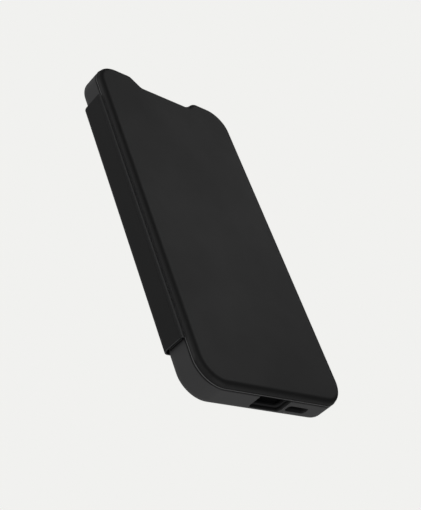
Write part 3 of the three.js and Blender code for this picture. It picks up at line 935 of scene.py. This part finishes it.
def cover_plate(name, margin, height):
    """The cover's flat outline: round corners and a shallow finger notch in the top edge."""
    half_width = cover_high.x - margin
    half_length = cover_high.y - margin
    piece = plate(name, (0, 0, height), 2 * half_width, 2 * half_length)
    slide = math.tan(notch_turn / 2)
    foot = notch_slope_foot + margin * slide
    top = notch_slope_top + margin * slide
    for x in (-top, -foot, foot, top):
        cut_across((x, 0, height), (1, 0, 0))
    pick("VERT", lambda p, corner: near(p.y, half_length) and abs(p.x) < foot + corner_slack)
    bpy.ops.transform.translate(value=(0, -notch_depth, 0))
    bpy.ops.mesh.select_all(action="SELECT")
    bpy.ops.mesh.dissolve_limited(angle_limit=math.radians(0.5))
    round_corners(
        (notch_top_round - margin) * slide, 10,
        lambda p, corner: p.y > 0 and near(abs(p.x), top, corner_slack),
    )
    round_corners(
        (notch_foot_round + margin) * slide, 8,
        lambda p, corner: p.y > 0 and near(abs(p.x), foot, corner_slack),
    )
    round_corners(
        case_corner - margin, corner_steps,
        lambda p, corner: near(abs(p.x), half_width) and near(abs(p.y), half_length),
    )
    return piece


# The rim's outward faces get a pale grey: edge colour, brightened further to stand in for the highlight along
# the rim's edge (painted highlight).
rim_edge_and_highlight = moulded_plastic(
    "rim_edge_and_highlight", (0.2, 0.2, 0.202), (0.22, 0.22, 0.223), 0.42, 0.3, 6500, 0.006 * mm, 0.2 * mm
)
cover = cover_plate("front_cover_skin", 0, cover_low.z)
pick("FACE", lambda place, face: True)
push(z=rim_thickness)
pick("FACE", lambda place, face: near(place.z, cover_low.z + rim_thickness))
bpy.ops.mesh.inset(thickness=rim_width)
push(z=cover_high.z - cover_low.z - rim_thickness)
round_edges(cover_edge_round, 15, lambda place, edge: level_edge(edge, cover_high.z))
pick("FACE", lambda place, face: near(place.z, cover_low.z))
bpy.ops.mesh.inset(thickness=hollow_inset)
push(z=cover_high.z - skin_thickness - cover_low.z)
hollow_top = cover_high.z - skin_thickness
round_edges(hollow_round, 8, lambda place, edge: level_edge(edge, hollow_top))
for y in (ridge_low.y, ridge_high.y):
    cut_across((0, y, 0), (0, 1, 0))
pick("FACE", lambda p, face: near(p.x, -cover_high.x) and abs(p.y) < ridge_high.y)
push(x=-ledge_edge)
pick("VERT", lambda p, corner: near(p.x, -cover_high.x - ledge_edge) and near(p.z, cover_low.z))
bpy.ops.transform.translate(value=(0, 0, ridge_high.z - skin_thickness - cover_low.z))
edge_x = -cover_high.x - ledge_edge
roll_rises = [0.03 * mm, 0.05 * mm, 0.04 * mm, 0.02 * mm, 0.0]
roll_drop = 0.04 * mm
roll_step = (edge_x - (ridge_low.x + skin_thickness)) / len(roll_rises)
roll_top = ridge_high.z + sum(roll_rises) - roll_drop
pick("FACE", lambda p, face: near(p.x, edge_x) and abs(face.normal.x) > 0.9)
for rise in roll_rises:
    push(x=-roll_step, z=rise)
push(x=-skin_thickness, z=-roll_drop)
pick("FACE", lambda p, face: (
    face.normal.z < -0.9 and p.x < ridge_low.x + skin_thickness and p.z > ridge_low.z
))
push(z=ridge_low.z - (roll_top - skin_thickness))
pick("VERT", lambda p, corner: p.x < ridge_low.x + 1.01 * skin_thickness and p.z < ridge_low.z + 0.2 * mm)
bpy.ops.transform.resize(value=(1, 1, 0), center_override=(0, 0, ridge_low.z))
round_edges(ridge_round, 8, lambda p, edge: near(p.x, ridge_low.x) and level_edge(edge, roll_top))
close_up(cover)
soften(cover, cover_soft_edge)
smooth(cover)
settle(cover, None, "skin", skin_black, "cover_skin", "cover_fold")
# Painted highlight: the cover's thin rim takes the pale grey all the way round, except along the fold.
cover.data.materials.append(rim_edge_and_highlight)
for face in cover.data.polygons:
    outwards = face.center.xy.dot(face.normal.xy) > 0 or face.normal.z > 0.5
    low_down = face.center.z < cover_low.z + rim_thickness + face_slack
    off_fold = face.center.x > -cover_high.x - face_slack
    if outwards and low_down and off_fold:
        face.material_index = 1
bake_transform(cover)

# ---------------------------------------------------------------------------- cover board, spacer and magnets
# Inside the cover a board keeps the front flat, a foam frame leaves room for one card, and two nickel-plated
# bar magnets sit in the foam by the free edge.
recoat("cover_board", board_black_shade)

spacer_foam, tree, shader = finish("spacer_foam", (0.04, 0.04, 0.042), 0.9, 0.3)
place = tree.nodes.new("ShaderNodeTexCoord").outputs["Object"]
cells = tree.nodes.new("ShaderNodeTexVoronoi")
cells.inputs["Scale"].default_value = 4500
tree.links.new(place, cells.inputs["Vector"])
tree.links.new(
    tinted(tree, cells.outputs["Distance"], (0.022, 0.022, 0.023), (0.06, 0.06, 0.063)),
    shader.inputs["Base Color"],
)
raise_bumps(tree, shader, cells.outputs["Distance"], 0.05 * mm)
recoat("card_spacer", spacer_foam)

magnet_nickel, tree, shader = finish("magnet_nickel", (0.62, 0.61, 0.6), 0.22, 0.5, 1.0)
place = tree.nodes.new("ShaderNodeTexCoord").outputs["Object"]
plating = noise(tree, place, 700, 4.0)
tree.links.new(between(tree, plating, 0.16, 0.34), shader.inputs["Roughness"])
raise_bumps(tree, shader, plating, 0.003 * mm)
for node in ("closure_magnet_1", "closure_magnet_2"):
    recoat(node, magnet_nickel)

# ---------------------------------------------------------------------------- cover lining
# The cover's inside face is a sheet of the same microfibre, die-cut with a long slit that a card slides into
# and a half-round thumb notch beside it.
inner_low, inner_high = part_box("cover_lining")
slit_left = -22.3 * mm
slit_right = -20.3 * mm
slit_middle = -12.4 * mm
slit_half = 42.6 * mm
slit_end_round = 0.9 * mm
inner_cut_edge = 0.1 * mm
thumb_radius = 9 * mm

cover_lining = cover_plate("cover_lining_sheet", cover_high.x - inner_high.x, inner_low.z)
pick("FACE", lambda place, face: True)
push(z=inner_high.z - inner_low.z)
close_up(cover_lining)
combine(cover_lining, bar(
    "slit_cutter", (slit_left, slit_middle - slit_half, 0), (slit_right, slit_middle + slit_half, cad_high.z),
    slit_end_round, "Z",
))
slit_axis = (slit_left + slit_right) / 2
thumb = bar(
    "thumb_cutter", (slit_axis - thumb_radius, slit_middle - thumb_radius, 0),
    (slit_axis + thumb_radius, slit_middle + thumb_radius, cad_high.z), 0.999 * thumb_radius, "Z", 24,
)
combine(thumb, bar(
    "thumb_trim", (-far_side, -far_side, -beyond), (slit_axis, far_side, 2 * cad_high.z), 0, "Z",
))
combine(cover_lining, thumb)
soften(cover_lining, inner_cut_edge)
smooth(cover_lining)
settle(cover_lining, "cover", "lining", microfibre, "cover_lining")
